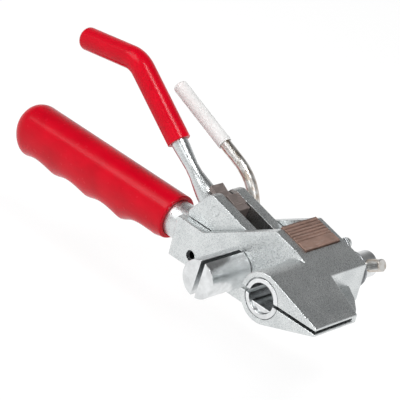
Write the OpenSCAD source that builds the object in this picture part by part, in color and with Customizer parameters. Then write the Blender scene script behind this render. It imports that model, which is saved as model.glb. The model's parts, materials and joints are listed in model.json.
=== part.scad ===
// Hand ratchet tensioner and cutter for 20 mm steel strapping band. All sizes are in millimetres.
// +X runs from the handle to the nose, +Y to the side away from the barrel's free end, and +Z is up.
// The origin is on the winding spindle's axis, at the inner end of its barrel.

/* [Body casting] */
// Inner face of the near cheek, and thickness of the far cheek
cheek_t = 5.4; // [4:0.2:7]
// Outer face of the far cheek, from the inner end of the barrel
body_w = 35.2; // [32:0.2:40]
// Gap between the inner end of the barrel and the near cheek
cheek_gap = 0.3; // [0.2:0.1:0.6]
// Rear edge of the cheeks, from the spindle axis
rear_x = -43.6; // [-55:0.2:-38]
// Height of the flat rear top of the cheeks
rear_top_z = 6.5; // [4:0.5:10]
// Lower edge of the cheeks
foot_z = -15.6; // [-20:0.2:-15]
// Place of the peak of the cheeks along X
peak_x = 17; // [14:0.5:20]
// Height of the peak
peak_z = 29.5; // [26:0.5:33]
// Front wall of the far half
wall_x = 50; // [47:0.5:55]

/* [Nose] */
// Near face of the nose and the boss
nose_y = -27.8; // [-32:0.2:-24]
// Tip of the nose along X
tip_x = 73; // [65:0.5:85]
// Upper edge of the tip
tip_top_z = 13.3; // [12:0.1:15]
// Lower edge of the tip
tip_low_z = 8.9; // [7:0.1:10]
// Height of the band slit
slit_h = 1.6; // [1:0.1:2.5]
// Middle of the band slit
slit_z = 11; // [10:0.1:12]

/* [Winding spindle] */
// Radius of the slotted barrel
barrel_r = 10; // [8:0.5:12]
// Length of the barrel in front of the near cheek
barrel_l = 28; // [22:0.5:32]
// Width of the band slot in the barrel
barrel_slot = 2.5; // [1:0.1:3]
// Lean of the slot from upright in the rest pose
slot_lean = 4; // [0:1:45]
// Radius of the journal in the near cheek, the yoke and the wheel
journal_r = 8; // [7:0.5:9]
// Radius of the journal in the far cheek
far_journal_r = 6; // [5:0.5:7]

/* [Ratchet] */
// Number of teeth
teeth = 24; // [18:2:30]
// Radius over the tooth tips
wheel_tip_r = 14.5; // [13:0.5:16]
// Radius at the tooth roots
wheel_root_r = 12.3; // [11:0.1:13]
// Width of the wheel and of both pawl noses
wheel_w = 9; // [7:0.5:10]
// Angle of one steep tooth face from +X
tooth_phase = 13; // [0:0.5:15]
// Turn that lifts the drive pawl from the tooth root to the rest pose
drive_lift = 4.5; // [3:0.5:8]
// Turn that lifts the holding pawl from the tooth root to the rest pose
hold_lift = 5; // [3:0.5:8]

/* [Cutter] */
// Cutter axis along X
cutter_x = 38.6; // [35:0.2:42]
// Cutter axis along Z
cutter_z = 10.7; // [9:0.1:12]
// Radius of the boss round the cutter
boss_r = 13; // [12:0.2:15]
// Outer radius of the cutter bush
bush_r = 10.2; // [9:0.1:11]
// Length of the bush behind the end of the slit
bush_tail = 3; // [2:0.5:6]
// Radius of the cutter shaft
shaft_r = 7.5; // [6:0.1:8]
// Depth of the shaft's flat below its axis
flat_drop = 4.3; // [1.5:0.1:5]
// Radius of the shaft's far end, which holds the cutter lever
shaft_end_r = 6.8; // [5:0.1:7]

/* [Main handle] */
// Height of the handle axis
handle_z = -5.6; // [-8:0.2:-4]
// Outer radius of the handle tube
tube_r = 10; // [8:0.5:11]
// Mouth of the grip along X
grip_mouth_x = -57; // [-62:0.5:-50]
// Rear end of the grip along X
grip_end_x = -172.5; // [-185:0.5:-150]
// Spacing of the finger grooves
groove_pitch = 25.7; // [22:0.1:28]
// Depth of the finger grooves
groove_depth = 2.9; // [1:0.1:4]

/* [Levers] */
// Radius of the ratchet lever rod
lever_r = 4.5; // [4:0.1:6]
// Outer radius of the ratchet lever sleeve
lever_sleeve_r = 6.25; // [5:0.05:8]
// Radius of the cutter lever rod
cut_rod_r = 3.2; // [2.5:0.1:4]
// Outer radius of the cutter lever sleeve
cut_sleeve_r = 3.9; // [3:0.1:5]
// Plane of the cutter lever along Y
cut_lever_y = 47; // [44:0.5:52]

/* [Hidden] */
$fn = 64;

// Colours as photographed
zinc = [0.74, 0.76, 0.77];
dark_steel = [0.22, 0.22, 0.23];
bright_steel = [0.80, 0.81, 0.82];
brown_phosphate = [0.42, 0.31, 0.27];
red_vinyl = [0.80, 0.08, 0.10];
white_vinyl = [0.93, 0.93, 0.93];
spring_steel = [0.45, 0.45, 0.47];

// Clearance of a shaft that turns in a hole, on the radius
run_fit = 0.06;
// Clearance between flat faces that slide past each other
side_gap = 0.4;
// Overlap of solids that are fused, or cut past a face
eps = 0.5;

gap_y0 = cheek_t;
gap_y1 = body_w - cheek_t;
mid_y = body_w / 2;
wheel_y0 = mid_y - wheel_w / 2;
wheel_y1 = mid_y + wheel_w / 2;
yoke_y0 = gap_y0 + side_gap;
yoke_y1 = gap_y1 - side_gap;
slot_y0 = wheel_y0 - eps;
slot_y1 = wheel_y1 + eps;
pitch_deg = 360 / teeth;

cutter = [cutter_x, cutter_z];
tip_top = [tip_x, tip_top_z];
tip_low = [tip_x, tip_low_z];
nose_top = tangent_point(cutter, boss_r, tip_top, 1);
nose_low = tangent_point(cutter, boss_r, tip_low, -1);
low_at_wall = low_at(wall_x);
// Far side of the nose at its tip and at the wall
tip_far_y = 3;
nose_far_y = 8;
// Ledge of the lower jaw: its height, its far edge and its plan from the wall to the tip
jaw_z = 10.6;
jaw_far_y = 25;
jaw_plan = [[wall_x - 1, 2], [wall_x - 1, jaw_far_y], [wall_x, jaw_far_y], [59.5, 18], [66.5, 10.7],
    [70.5, 5.5], [70.5, 2]];
// The front slope of the cheeks meets the plane of the nose's top at this X. Both are milled in one go.
slope_end_x = 40.4;
milled = 0.06;
// The underside of the cheeks and the block stands a little proud of the nose
proud = 0.6;
shoulder_low_deg = -72;
belly_x = 36;
shoulder = [[wall_x, slope_z(wall_x)], [wall_x, low_at_wall - proud],
    cutter + polar(boss_r + proud, shoulder_low_deg), [belly_x, cutter_z - boss_r - proud]];
// Fillet between the boss and the near cheek, and the field that it fills
fillet_r = 2.4;
fillet_x0 = cutter_x - boss_r - fillet_r;
fillet_x1 = cutter_x + 8;
fillet_z0 = cutter_z + 2;
// Height that is sure to pass through the body
tall = 60;
slit_low = slit_z - slit_h / 2;
slit_top = slit_z + slit_h / 2;
exit_h = 2.2;
exit_low = slit_top - exit_h;

// Start of the ramp and front end of the foot on the cheeks
ramp_x = -25;
foot_front_x = 12;
// Block round the handle socket, and the depth of the socket
socket_front_x = -25.5;
socket_top_z = 5.6;
socket_end_x = socket_front_x - 1.1;
socket_r = 8.6;
tube_end_x = -150;
tube_wall = 2.5;
// Block that carries the cutter, the recess under the thumb pad and the pocket of its spring
front_block_x = 22;
block_low_z = -10.5;
recess_floor_z = 18.6;
recess_front_x = 33.9;
// The recess is sunk into the far cheek, which is thinner behind the pad
recess_rear_x = 13.2;
recess_sunk = 2.4;
pocket_x = 27.2;
pocket_z = 11;
pocket_r = 2.8;
roll_pin = [-29.5, -9.4];
roll_pin_r = 2.8;
roll_pin_wall = 0.8;
roll_pin_depth = 1.5;

drive_pivot = [-25.3, 17.3];
hold_pivot = [20, 22.9];
pawl_pin_r = 2.5;
// Foot of the drive pawl's spring in the yoke
drive_spring_x = -32.3;
drive_spring_z = 9.2;
drive_pocket_r = 2.9;
// Front of the block that joins the yoke's cheeks
yoke_block_x = -30.8;
drive_tip_deg = 205.5;
hold_tip_deg = 85;
stud = [31.5, 21.3];
stud_r = 3;
stud_root_y = gap_y1 + recess_sunk + 0.6;
stud_end_y = 40.6;
// Depth of the shaft's near end in the bush, and the places of its step and its far end
shaft_recess = 1.4;
shaft_step_y = 41.8;
shaft_end_y = 53.2;

// The cutter's return spring
spring_r = 8.9;
spring_wire_r = 0.7;
spring_y0 = 36.4;
spring_rise = 5;
spring_turns = 2.5;
spring_start_deg = heading(cutter, stud)
    - acos((spring_r - stud_r - spring_wire_r - 0.4) / norm(stud - cutter));
spring_end_deg = spring_start_deg - 360 * spring_turns;

// Centre lines of the two levers in their own XZ planes, from the root to the free end
lever_path = [[-36, 10.5], [-106, 61.8], [-142.5, 57.6]];
lever_bend = 15;
lever_mouth = [-67.5, 33.6];
cut_path = [[51.3, 17.8], [-18.7, -21.4], [-39.5, 21.4], [-98.6, 45.3]];
cut_bends = [0, 20, 27, 0];
cut_mouth = [-61, 30.1];

// Point on the XZ circle of radius r at angle a
function polar(r, a) = [r * cos(a), r * sin(a)];
// Angle of the line from a to b
function heading(a, b) = atan2(b[1] - a[1], b[0] - a[0]);
// Turn from one heading to the next, from -180 to 180
function turn_at(p, i) = let (d = heading(p[i], p[i + 1]) - heading(p[i - 1], p[i]))
    d > 180 ? d - 360 : (d < -180 ? d + 360 : d);
// Length that a bend of radius r takes from each side of corner i
function trim_at(p, r, i) = (i == 0 || i == len(p) - 1) ? 0 : r * tan(abs(turn_at(p, i)) / 2);
// Touching point of the tangent from p to a circle, on the upper (1) or lower (-1) side
function tangent_point(c, r, p, side) = c + polar(r, heading(c, p) + side * acos(r / norm(p - c)));
// Height of the nose's lower face at x
function low_at(x) = nose_low[1] + (x - nose_low[0]) * (tip_low_z - nose_low[1]) / (tip_x - nose_low[0]);
// Height of the plane of the nose's top at x
function top_at(x) = nose_top[1] + (x - nose_top[0]) * (tip_top_z - nose_top[1]) / (tip_x - nose_top[0]);
// Height of the front slope of the cheeks at x
function slope_z(x) = peak_z + (x - peak_x) * (top_at(slope_end_x) - milled - peak_z)
    / (slope_end_x - peak_x);
// Point p turned clockwise about c, as seen from the near side
function turned(p, c, a) = let (d = p - c)
    c + [d[0] * cos(a) + d[1] * sin(a), -d[0] * sin(a) + d[1] * cos(a)];

// An XZ outline drawn out along Y
module along_y(y0, y1) {
    translate([0, y1, 0])
        rotate([90, 0, 0])
            linear_extrude(y1 - y0)
                children();
}

// A round bar along Y
module y_bar(c, r, y0, y1) {
    translate([c[0], y1, c[1]])
        rotate([90, 0, 0])
            cylinder(h = y1 - y0, r = r);
}

// A round bar along X
module x_bar(y, z, r, x0, x1) {
    translate([x0, y, z])
        rotate([0, 90, 0])
            cylinder(h = x1 - x0, r = r);
}

// Points of a rod's centre line in an XZ plane: straight runs with round bends, 6 degrees to a step
function rod_points(p, bends, y) = [for (i = [0 : len(p) - 1])
    each ((i == 0 || i == len(p) - 1) ? [[p[i][0], y, p[i][1]]] : bend_points(p, bends[i], i, y))];
function bend_points(p, bend_r, i, y) =
    let (a = heading(p[i - 1], p[i]), d = turn_at(p, i), side = sign(d), n = ceil(abs(d) / 6),
        centre = p[i] - polar(trim_at(p, bend_r, i), a) + polar(bend_r, a + 90 * side))
    [for (k = [0 : n]) let (q = centre + polar(bend_r, a - 90 * side + d * k / n)) [q[0], y, q[1]]];

// A round rod along such a line, with a domed end when dome is set
module bent_rod(p, bends, r, y, dome = false) {
    line = rod_points(p, bends, y);
    last = len(line) - 1;
    ahead = (line[last] - line[last - 1]) / norm(line[last] - line[last - 1]);
    cap = dome ? [15 : 15 : 75] : [];
    points = concat(line, [for (a = cap) line[last] + 0.55 * r * sin(a) * ahead]);
    radii = concat([for (q = line) r], [for (a = cap) r * cos(a)]);
    wire(points, [for (q = points) [0, 1, 0]], radii, 28);
}

// A straight round hole for the end of such a rod, from point a towards point b
module rod_hole(a, b, r, y, length) {
    translate([a[0], y, a[1]])
        rotate([0, 90 - heading(a, b), 0])
            cylinder(h = length, r = r);
}

// A round bar swept along points, where each normal stands square to the line
module wire(points, normals, radii, sides = 6) {
    last = len(points) - 1;
    rings = [for (i = [0 : last]) let (t = points[min(last, i + 1)] - points[max(0, i - 1)],
        n = normals[i], b = cross(t, n) / norm(cross(t, n)), r = is_list(radii) ? radii[i] : radii)
        [for (k = [0 : sides - 1]) points[i] + r * (cos(360 * k / sides) * n - sin(360 * k / sides) * b)]];
    tube_skin(rings);
}

// The outline of the nose: the boss and the wedge in front of it
module nose_outline() {
    translate(cutter)
        circle(boss_r);
    polygon([cutter, nose_top, tip_top, tip_low, nose_low]);
}

// The outline of a cheek
module cheek_outline() {
    polygon(concat([[rear_x, rear_top_z], [ramp_x, rear_top_z - 0.2], [peak_x, peak_z]], shoulder,
        [[foot_front_x, foot_z], [rear_x, foot_z]]));
}

// The block between the cheeks that carries the cutter, with the recess under the thumb pad
module front_block() {
    along_y(gap_y0 - eps, gap_y1 + eps)
        polygon(concat([[front_block_x, recess_floor_z], [recess_front_x, recess_floor_z],
            [recess_front_x, slope_z(recess_front_x)]], shoulder, [[front_block_x, block_low_z]]));
}

// The nose, whose far side runs in towards the tip
module nose() {
    intersection() {
        along_y(nose_y, nose_far_y + eps)
            nose_outline();
        translate([0, 0, foot_z])
            linear_extrude(tall)
                polygon([[0, nose_y], [tip_x, nose_y], [tip_x, tip_far_y], [wall_x, nose_far_y],
                    [recess_front_x + eps, nose_far_y], [recess_front_x + eps, gap_y0 - eps],
                    [0, gap_y0 - eps]]);
    }
}

// The lower jaw reaches further back than the upper one, as a ledge that runs in to the tip
module lower_jaw() {
    intersection() {
        along_y(0, jaw_far_y + eps)
            polygon([[wall_x - 1, low_at(wall_x - 1) + eps], [wall_x - 1, jaw_z], [tip_x, jaw_z],
                [tip_x, tip_low_z + eps]]);
        translate([0, 0, foot_z])
            linear_extrude(tall)
                polygon(jaw_plan);
    }
}

// The slit that the band slides into, and its way out towards the barrel
module band_slit() {
    translate([cutter_x, nose_y - eps, slit_low])
        cube([tip_x - cutter_x + eps, eps - nose_y, slit_h]);
    translate([cutter_x - boss_r - 2, nose_y - eps, exit_low])
        cube([boss_r + 2, eps - nose_y, slit_top - exit_low]);
}

// The fillet where the boss meets the near cheek, as three cones
module boss_fillet() {
    steps = [0, 30, 60, 90];
    intersection() {
        for (i = [0 : 2])
            translate([cutter_x, cheek_gap - fillet_r * (1 - sin(steps[i])) - milled, cutter_z])
                rotate([-90, 0, 0])
                    cylinder(h = fillet_r * (sin(steps[i + 1]) - sin(steps[i])) + 2 * milled,
                        r1 = boss_r - milled + fillet_r * (1 - cos(steps[i])),
                        r2 = boss_r - milled + fillet_r * (1 - cos(steps[i + 1])));
        translate([fillet_x0, -2 * fillet_r, fillet_z0])
            cube([fillet_x1 - fillet_x0, 2 * fillet_r + cheek_gap + eps, tall]);
    }
}

// What is milled off above the front slope and the nose, across the whole width
module above_top() {
    along_y(nose_y - eps, body_w + eps)
        polygon([[peak_x - 2, slope_z(peak_x - 2) - milled], [slope_end_x, slope_z(slope_end_x) - milled],
            [tip_x + eps, top_at(tip_x + eps) - milled], [tip_x + eps, tall], [peak_x - 2, tall]]);
}

module body() {
    color(zinc)
        difference() {
            union() {
                along_y(cheek_gap, cheek_t)
                    cheek_outline();
                along_y(gap_y1, body_w)
                    cheek_outline();
                front_block();
                translate([rear_x, gap_y0 - eps, foot_z])
                    cube([socket_front_x - rear_x, gap_y1 - gap_y0 + 2 * eps, socket_top_z - foot_z]);
                nose();
                boss_fillet();
                lower_jaw();
            }
            above_top();
            band_slit();
            y_bar([0, 0], journal_r + run_fit, -eps, cheek_t + eps);
            y_bar([0, 0], far_journal_r + run_fit, gap_y1 - eps, body_w + eps);
            y_bar(cutter, bush_r, nose_y - eps, bush_tail);
            y_bar(cutter, shaft_r + run_fit, -eps, body_w + eps);
            y_bar(hold_pivot, pawl_pin_r, -eps, body_w + eps);
            y_bar(stud, stud_r, stud_root_y, body_w + eps);
            translate([recess_rear_x, gap_y1 - eps, recess_floor_z + milled])
                cube([recess_front_x - milled - recess_rear_x, recess_sunk + eps, tall]);
            y_bar(roll_pin, roll_pin_r, -eps, body_w + eps);
            x_bar(mid_y, handle_z, socket_r, rear_x - eps, socket_end_x);
            translate([pocket_x, mid_y, pocket_z])
                cylinder(h = tall, r = pocket_r);
        }
}

// The handle tube is turned down where it sits in the body
module handle_tube() {
    color(zinc)
        difference() {
            union() {
                x_bar(mid_y, handle_z, tube_r, tube_end_x, rear_x);
                x_bar(mid_y, handle_z, socket_r, rear_x - eps, socket_end_x);
            }
            x_bar(mid_y, handle_z, socket_r - tube_wall, tube_end_x - eps, socket_front_x);
            y_bar(roll_pin, roll_pin_r, 0, body_w);
        }
}

// Grip: radius above and depth below at the mouth, growth to the rear, and swell of the underside
grip_mouth_r = 12.5;
grip_growth = 0.01;
grip_mouth_low = 13.6;
grip_swell = 4.2;
swell_start = 9;
swell_run = 24;
first_crest_x = -90.4;
grip_end_round = 9;
grip_lip = 2;
// Radius of the grip's top at x, and depth of its underside with the finger grooves
function grip_top(x) = grip_mouth_r + grip_growth * (grip_mouth_x - x);
function grip_fade(x) = min(1, max(0, (grip_mouth_x - swell_start - x) / swell_run));
function grip_low(x) = grip_mouth_low + grip_swell * grip_fade(x)
    - groove_depth * (0.5 - 0.5 * cos(360 * (x - first_crest_x) / groove_pitch));
// Share of the full section at x, rounded off at both ends
function grip_round(x) = let (end = max(0, 1 - (x - grip_end_x) / grip_end_round),
        lip = max(0, 1 - (grip_mouth_x - x) / grip_lip))
    (0.5 + 0.5 * sqrt(max(0.01, 1 - end * end))) * (1 - 0.07 * lip * lip);

module main_grip() {
    sides = 40;
    steps = 64;
    rings = [for (i = [0 : steps]) let (x = grip_mouth_x + (grip_end_x - grip_mouth_x) * i / steps)
        [for (k = [0 : sides - 1]) let (a = 360 * k / sides, s = grip_round(x))
            [x, mid_y + s * grip_top(x) * cos(a),
                handle_z + s * (sin(a) > 0 ? grip_top(x) : grip_low(x)) * sin(a)]]];
    color(red_vinyl)
        difference() {
            tube_skin(rings);
            x_bar(mid_y, handle_z, tube_r, tube_end_x, grip_mouth_x + 1);
        }
}

// A closed solid over a row of rings of points
module tube_skin(rings) {
    n = len(rings[0]);
    last = len(rings) - 1;
    sides = [for (i = [0 : last - 1], k = [0 : n - 1]) let (j = (k + 1) % n)
        each [[i * n + k, i * n + j, (i + 1) * n + k], [i * n + j, (i + 1) * n + j, (i + 1) * n + k]]];
    start = [for (k = [n - 1 : -1 : 0]) k];
    finish = [for (k = [0 : n - 1]) last * n + k];
    polyhedron(points = [for (ring = rings, p = ring) p], faces = concat(sides, [start], [finish]));
}

module handle_roll_pin() {
    color(dark_steel)
        difference() {
            y_bar(roll_pin, roll_pin_r, cheek_gap + roll_pin_depth, body_w - roll_pin_depth);
            y_bar(roll_pin, roll_pin_r - roll_pin_wall, 0, body_w);
        }
}

// The key's box, which is also cut out of the spindle and the wheel
module key_box() {
    translate([-2, wheel_y0 + 0.5, -journal_r - 2])
        cube([4, wheel_w - 1, 4]);
}

module winding_spindle() {
    ring_y = body_w + 1.8;
    color(bright_steel)
        difference() {
            union() {
                rotate([0, slot_lean, 0])
                    y_bar([0, 0], barrel_r, -barrel_l, 0);
                y_bar([0, 0], journal_r, -eps, gap_y1 - cheek_gap);
                y_bar([0, 0], far_journal_r, gap_y1 - 1, body_w + 4.2);
            }
            rotate([0, slot_lean, 0])
                translate([-barrel_slot / 2, -barrel_l - eps, -barrel_r - eps])
                    cube([barrel_slot, barrel_l + eps - cheek_gap, 2 * (barrel_r + eps)]);
            key_box();
            difference() {
                y_bar([0, 0], far_journal_r + eps, ring_y, ring_y + 1.2);
                y_bar([0, 0], far_journal_r - 1, ring_y - eps, ring_y + 1.2 + eps);
            }
        }
}

// Saw teeth: a steep face, a short land and a ramp that falls in the winding direction
module ratchet_wheel() {
    color(dark_steel)
        difference() {
            along_y(wheel_y0, wheel_y1)
                polygon([for (i = [0 : teeth - 1]) let (a = tooth_phase + i * pitch_deg)
                    each [polar(wheel_root_r, a), polar(wheel_tip_r, a + 0.4), polar(wheel_tip_r, a + 2)]]);
            y_bar([0, 0], journal_r, wheel_y0 - eps, wheel_y1 + eps);
            key_box();
        }
}

module spindle_key() {
    color(bright_steel)
        key_box();
}

module spindle_washer() {
    color(zinc)
        difference() {
            y_bar([0, 0], far_journal_r + 4, body_w + 0.3, body_w + 1.8);
            y_bar([0, 0], far_journal_r, body_w, body_w + 2);
        }
}

module spindle_ring() {
    ring_y = body_w + 1.8;
    color(dark_steel)
        difference() {
            y_bar([0, 0], far_journal_r + 1.8, ring_y, ring_y + 1.2);
            y_bar([0, 0], far_journal_r - 1, ring_y - eps, ring_y + 2);
            translate([-1.5, ring_y - eps, 0])
                cube([3, 3, far_journal_r + 3]);
        }
}

// The outline of a yoke cheek
module yoke_outline() {
    circle(13);
    polygon([[-41.8, 6.3], [-41.6, 10.1], [-36.8, 16.2], [-34, 20.3], [-31.8, 23.2], [-28.8, 24.2],
        [1, 16.5], [8, 9], [-9, -9], [-24.6, 6.3]]);
}

module lever_yoke() {
    color(zinc)
        difference() {
            union() {
                along_y(yoke_y0, slot_y0)
                    yoke_outline();
                along_y(slot_y1, yoke_y1)
                    yoke_outline();
                along_y(slot_y0 - eps, slot_y1 + eps)
                    polygon([[-41.8, 6.3], [-41.6, 10.1], [-36.8, 16.2], [-35.4, 17.4], [-33.2, 17],
                        [yoke_block_x, 12.5], [yoke_block_x, 6.3]]);
            }
            y_bar([0, 0], journal_r + run_fit, yoke_y0 - eps, yoke_y1 + eps);
            y_bar(drive_pivot, pawl_pin_r, yoke_y0 - eps, yoke_y1 + eps);
            rod_hole(lever_path[0], lever_path[1], lever_r, mid_y, 30);
            x_bar(mid_y, drive_spring_z, drive_pocket_r, drive_spring_x - eps, yoke_block_x + eps);
        }
}

// The rod is waisted behind its sleeve and spreads to the yoke: distance from the root, growth and lift
lever_neck = [[4.7, 0, 0], [4.8, 1.4, 1], [8, 1.2, 0.85], [12, 0.6, 0.6], [16, -0.1, 0.35], [20, -0.75, 0.15],
    [24.5, -1, 0], [30, -0.6, 0], [36, -0.1, 0], [38, 0, 0]];

module ratchet_lever_rod() {
    line = rod_points(lever_path, [0, lever_bend, 0], mid_y);
    rest = [for (i = [1 : len(line) - 1]) line[i]];
    ahead = (line[1] - line[0]) / norm(line[1] - line[0]);
    lift = [-ahead[2], 0, ahead[0]] * sign(ahead[0]);
    neck = [for (n = lever_neck) line[0] + n[0] * ahead + n[2] * lift];
    points = concat([line[0]], neck, rest);
    radii = concat([lever_r], [for (n = lever_neck) lever_r + n[1]], [for (q = rest) lever_r]);
    color(zinc)
        wire(points, [for (q = points) [0, 1, 0]], radii, 28);
}

module ratchet_lever_sleeve() {
    color(red_vinyl)
        difference() {
            bent_rod([lever_mouth, lever_path[1], lever_path[2]], [0, lever_bend, 0], lever_sleeve_r,
                mid_y, dome = true);
            bent_rod(lever_path, [0, lever_bend, 0], lever_r, mid_y);
        }
}

// The drive pawl's nose sits under a steep face and pushes it down behind the spindle
module drive_pawl() {
    beak = [[-21.5, 12], [-17.6, 6], polar(16, drive_tip_deg - 15.5), polar(12.9, drive_tip_deg),
        polar(16, drive_tip_deg), [-19, -3], [-21, 5], [-25.4, 12]];
    color(brown_phosphate)
        difference() {
            along_y(wheel_y0, wheel_y1)
                polygon(concat([[-37.4, 24.2], [-32.9, 21.6], [-28.8, 21.4], [-26.4, 24.1], [-20.3, 21.9],
                    [-20.1, 21.1], [-17, 20.2], [-18, 14]],
                    [for (p = beak) turned(p, drive_pivot, drive_lift)],
                    [[-30, 14.5], [-31, 18.3], [-38.4, 21.8]]));
            y_bar(drive_pivot, pawl_pin_r + run_fit, 0, body_w);
        }
}

module drive_pawl_pin() {
    color(bright_steel)
        y_bar(drive_pivot, pawl_pin_r, yoke_y0, yoke_y1);
}

// The holding pawl: a nose on the teeth, a hub on its pin and a ribbed thumb pad in front
module holding_pawl() {
    beak = [polar(16, hold_tip_deg), polar(12.95, hold_tip_deg), polar(16.3, hold_tip_deg - 16),
        [9.5, 14.2], [14, 15], [20, 19.4], [20, 22.9], [16.4, 20.8], [8, 16.6]];
    pad_rear = [15.9, 30.2];
    pad_front = [33.3, 26.3];
    pad_slope = heading(pad_rear, pad_front);
    pad_t = 3.4;
    rib_pitch = 1.9;
    rib_gap = 0.7;
    rib_depth = 0.4;
    color(brown_phosphate)
        difference() {
            union() {
                along_y(wheel_y0, wheel_y1)
                    polygon([for (p = beak) turned(p, hold_pivot, hold_lift)]);
                y_bar(hold_pivot, 4, yoke_y0, yoke_y1);
                along_y(yoke_y0, gap_y1 + recess_sunk - side_gap)
                    polygon([pad_rear, pad_front, pad_front + polar(pad_t, pad_slope - 90),
                        pad_rear + polar(pad_t, pad_slope - 90)]);
                along_y(yoke_y0, yoke_y1)
                    polygon([hold_pivot + [-3.5, 0], hold_pivot + [-2.5, 6], hold_pivot + [3, 5],
                        hold_pivot + [3.5, 0]]);
            }
            y_bar(hold_pivot, pawl_pin_r + run_fit, 0, body_w);
            for (i = [1 : 6])
                translate([pad_rear[0], 0, pad_rear[1]])
                    rotate([0, -pad_slope, 0])
                        translate([rib_pitch * i, 0, -rib_depth])
                            cube([rib_gap, body_w, 2]);
        }
}

module holding_pawl_pin() {
    color(bright_steel)
        y_bar(hold_pivot, pawl_pin_r, cheek_gap, body_w);
}

// Points of a coil about +Z that starts at the origin, 8 to a turn
function coil(r, turns, height) = [for (i = [0 : turns * 8]) let (a = 45 * i)
    [r * cos(a), r * sin(a), height * i / (turns * 8)]];
function coil_normals(turns) = [for (i = [0 : turns * 8]) [cos(45 * i), sin(45 * i), 0]];
// Least distance between the wire's surfaces from one turn to the next
function coil_gap(points, wire_r) = min([for (i = [0 : len(points) - 9])
    norm(points[i + 8] - points[i])]) - 2 * wire_r;

// The two pawl springs: coil and wire radius, turns and length
pawl_coil_r = 2.2;
pawl_wire_r = 0.4;
drive_turns = 5;
drive_spring_l = 5.9;
hold_turns = 7;
hold_spring_l = 11.4;
drive_spring_points = coil(pawl_coil_r, drive_turns, drive_spring_l);
hold_spring_points = coil(pawl_coil_r, hold_turns, hold_spring_l);
echo("least gap of the drive pawl spring", coil_gap(drive_spring_points, pawl_wire_r));
echo("least gap of the holding pawl spring", coil_gap(hold_spring_points, pawl_wire_r));

module drive_pawl_spring() {
    color(spring_steel)
        translate([drive_spring_x, mid_y, drive_spring_z])
            rotate([0, 90, 0])
                wire(drive_spring_points, coil_normals(drive_turns), pawl_wire_r);
}

module holding_pawl_spring() {
    color(spring_steel)
        translate([pocket_x, mid_y, pocket_z + 0.5])
            wire(hold_spring_points, coil_normals(hold_turns), pawl_wire_r);
}

// The near end of the bush is turned down off centre, which leaves a dark crescent in the boss
module cutter_bush() {
    relief_l = 2.5;
    relief_r = 9.9;
    relief_shift = [0.25, 0];
    color(bright_steel)
        difference() {
            union() {
                y_bar(cutter, bush_r, nose_y + relief_l, bush_tail);
                y_bar(cutter + relief_shift, relief_r, nose_y, nose_y + relief_l + eps);
            }
            y_bar(cutter, shaft_r + run_fit, nose_y - eps, bush_tail + eps);
            band_slit();
        }
}

// The cutter shaft's near end is milled to a flat, and its far edge shears the band
module cutter_shaft() {
    color(bright_steel)
        difference() {
            union() {
                y_bar(cutter, shaft_r, nose_y + shaft_recess, shaft_step_y);
                y_bar(cutter, shaft_end_r, shaft_step_y - eps, shaft_end_y);
            }
            translate([cutter_x - 10, nose_y, cutter_z - flat_drop])
                cube([20, -nose_y + 0.4, 20]);
            rod_hole(cut_path[0], cut_path[1], cut_rod_r, cut_lever_y, 40);
        }
}

module cutter_lever_rod() {
    color(zinc)
        bent_rod(cut_path, cut_bends, cut_rod_r, cut_lever_y);
}

module cutter_lever_sleeve() {
    color(white_vinyl)
        difference() {
            bent_rod([cut_mouth, cut_path[3]], [0, 0], cut_sleeve_r, cut_lever_y, dome = true);
            bent_rod(cut_path, cut_bends, cut_rod_r, cut_lever_y);
        }
}

// The return spring: a leg over the stud, turns round the shaft and a tang under the lever rod
spring_leg = polar(1, spring_start_deg + 90);
spring_coil = [for (i = [0 : 8 * spring_turns]) let (p = cutter + polar(spring_r, spring_start_deg - 45 * i))
    [p[0], spring_y0 + spring_rise * i / (8 * spring_turns), p[1]]];
echo("least gap of the cutter spring", coil_gap(spring_coil, spring_wire_r));

module cutter_spring() {
    out0 = polar(1, spring_start_deg);
    out1 = polar(1, spring_end_deg);
    p0 = spring_coil[0];
    p1 = spring_coil[8 * spring_turns];
    leg = [for (s = [13.5, 7, 1.5]) p0 + s * [spring_leg[0], 0, spring_leg[1]]];
    tang = [p1 + [0, 1.2, 0], p1 + [0, 4, 0], p1 + [0, 8, 0]];
    coil_out = [for (i = [0 : 8 * spring_turns]) polar(1, spring_start_deg - 45 * i)];
    out = concat([out0, out0, out0], coil_out, [out1, out1, out1]);
    color(spring_steel)
        wire(concat(leg, spring_coil, tang), [for (o = out) [o[0], 0, o[1]]], spring_wire_r);
}

module spring_stud() {
    color(zinc)
        difference() {
            union() {
                y_bar(stud, stud_r, stud_root_y, stud_end_y);
                translate([stud[0], stud_end_y, stud[1]])
                    rotate([90, 0, 0])
                        sphere(stud_r - 0.1);
            }
            difference() {
                y_bar(stud, stud_r + eps, 39, 39.8);
                y_bar(stud, stud_r - 0.5, 38, 41);
            }
        }
}

body();
handle_tube();
main_grip();
handle_roll_pin();
winding_spindle();
ratchet_wheel();
spindle_key();
spindle_washer();
spindle_ring();
lever_yoke();
ratchet_lever_rod();
ratchet_lever_sleeve();
drive_pawl();
drive_pawl_pin();
drive_pawl_spring();
holding_pawl();
holding_pawl_pin();
holding_pawl_spring();
cutter_bush();
cutter_shaft();
cutter_lever_rod();
cutter_lever_sleeve();
cutter_spring();
spring_stud();
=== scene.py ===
"""Looks of a hand ratchet tensioner and cutter for steel strapping band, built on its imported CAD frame."""

import json
import math

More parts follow.
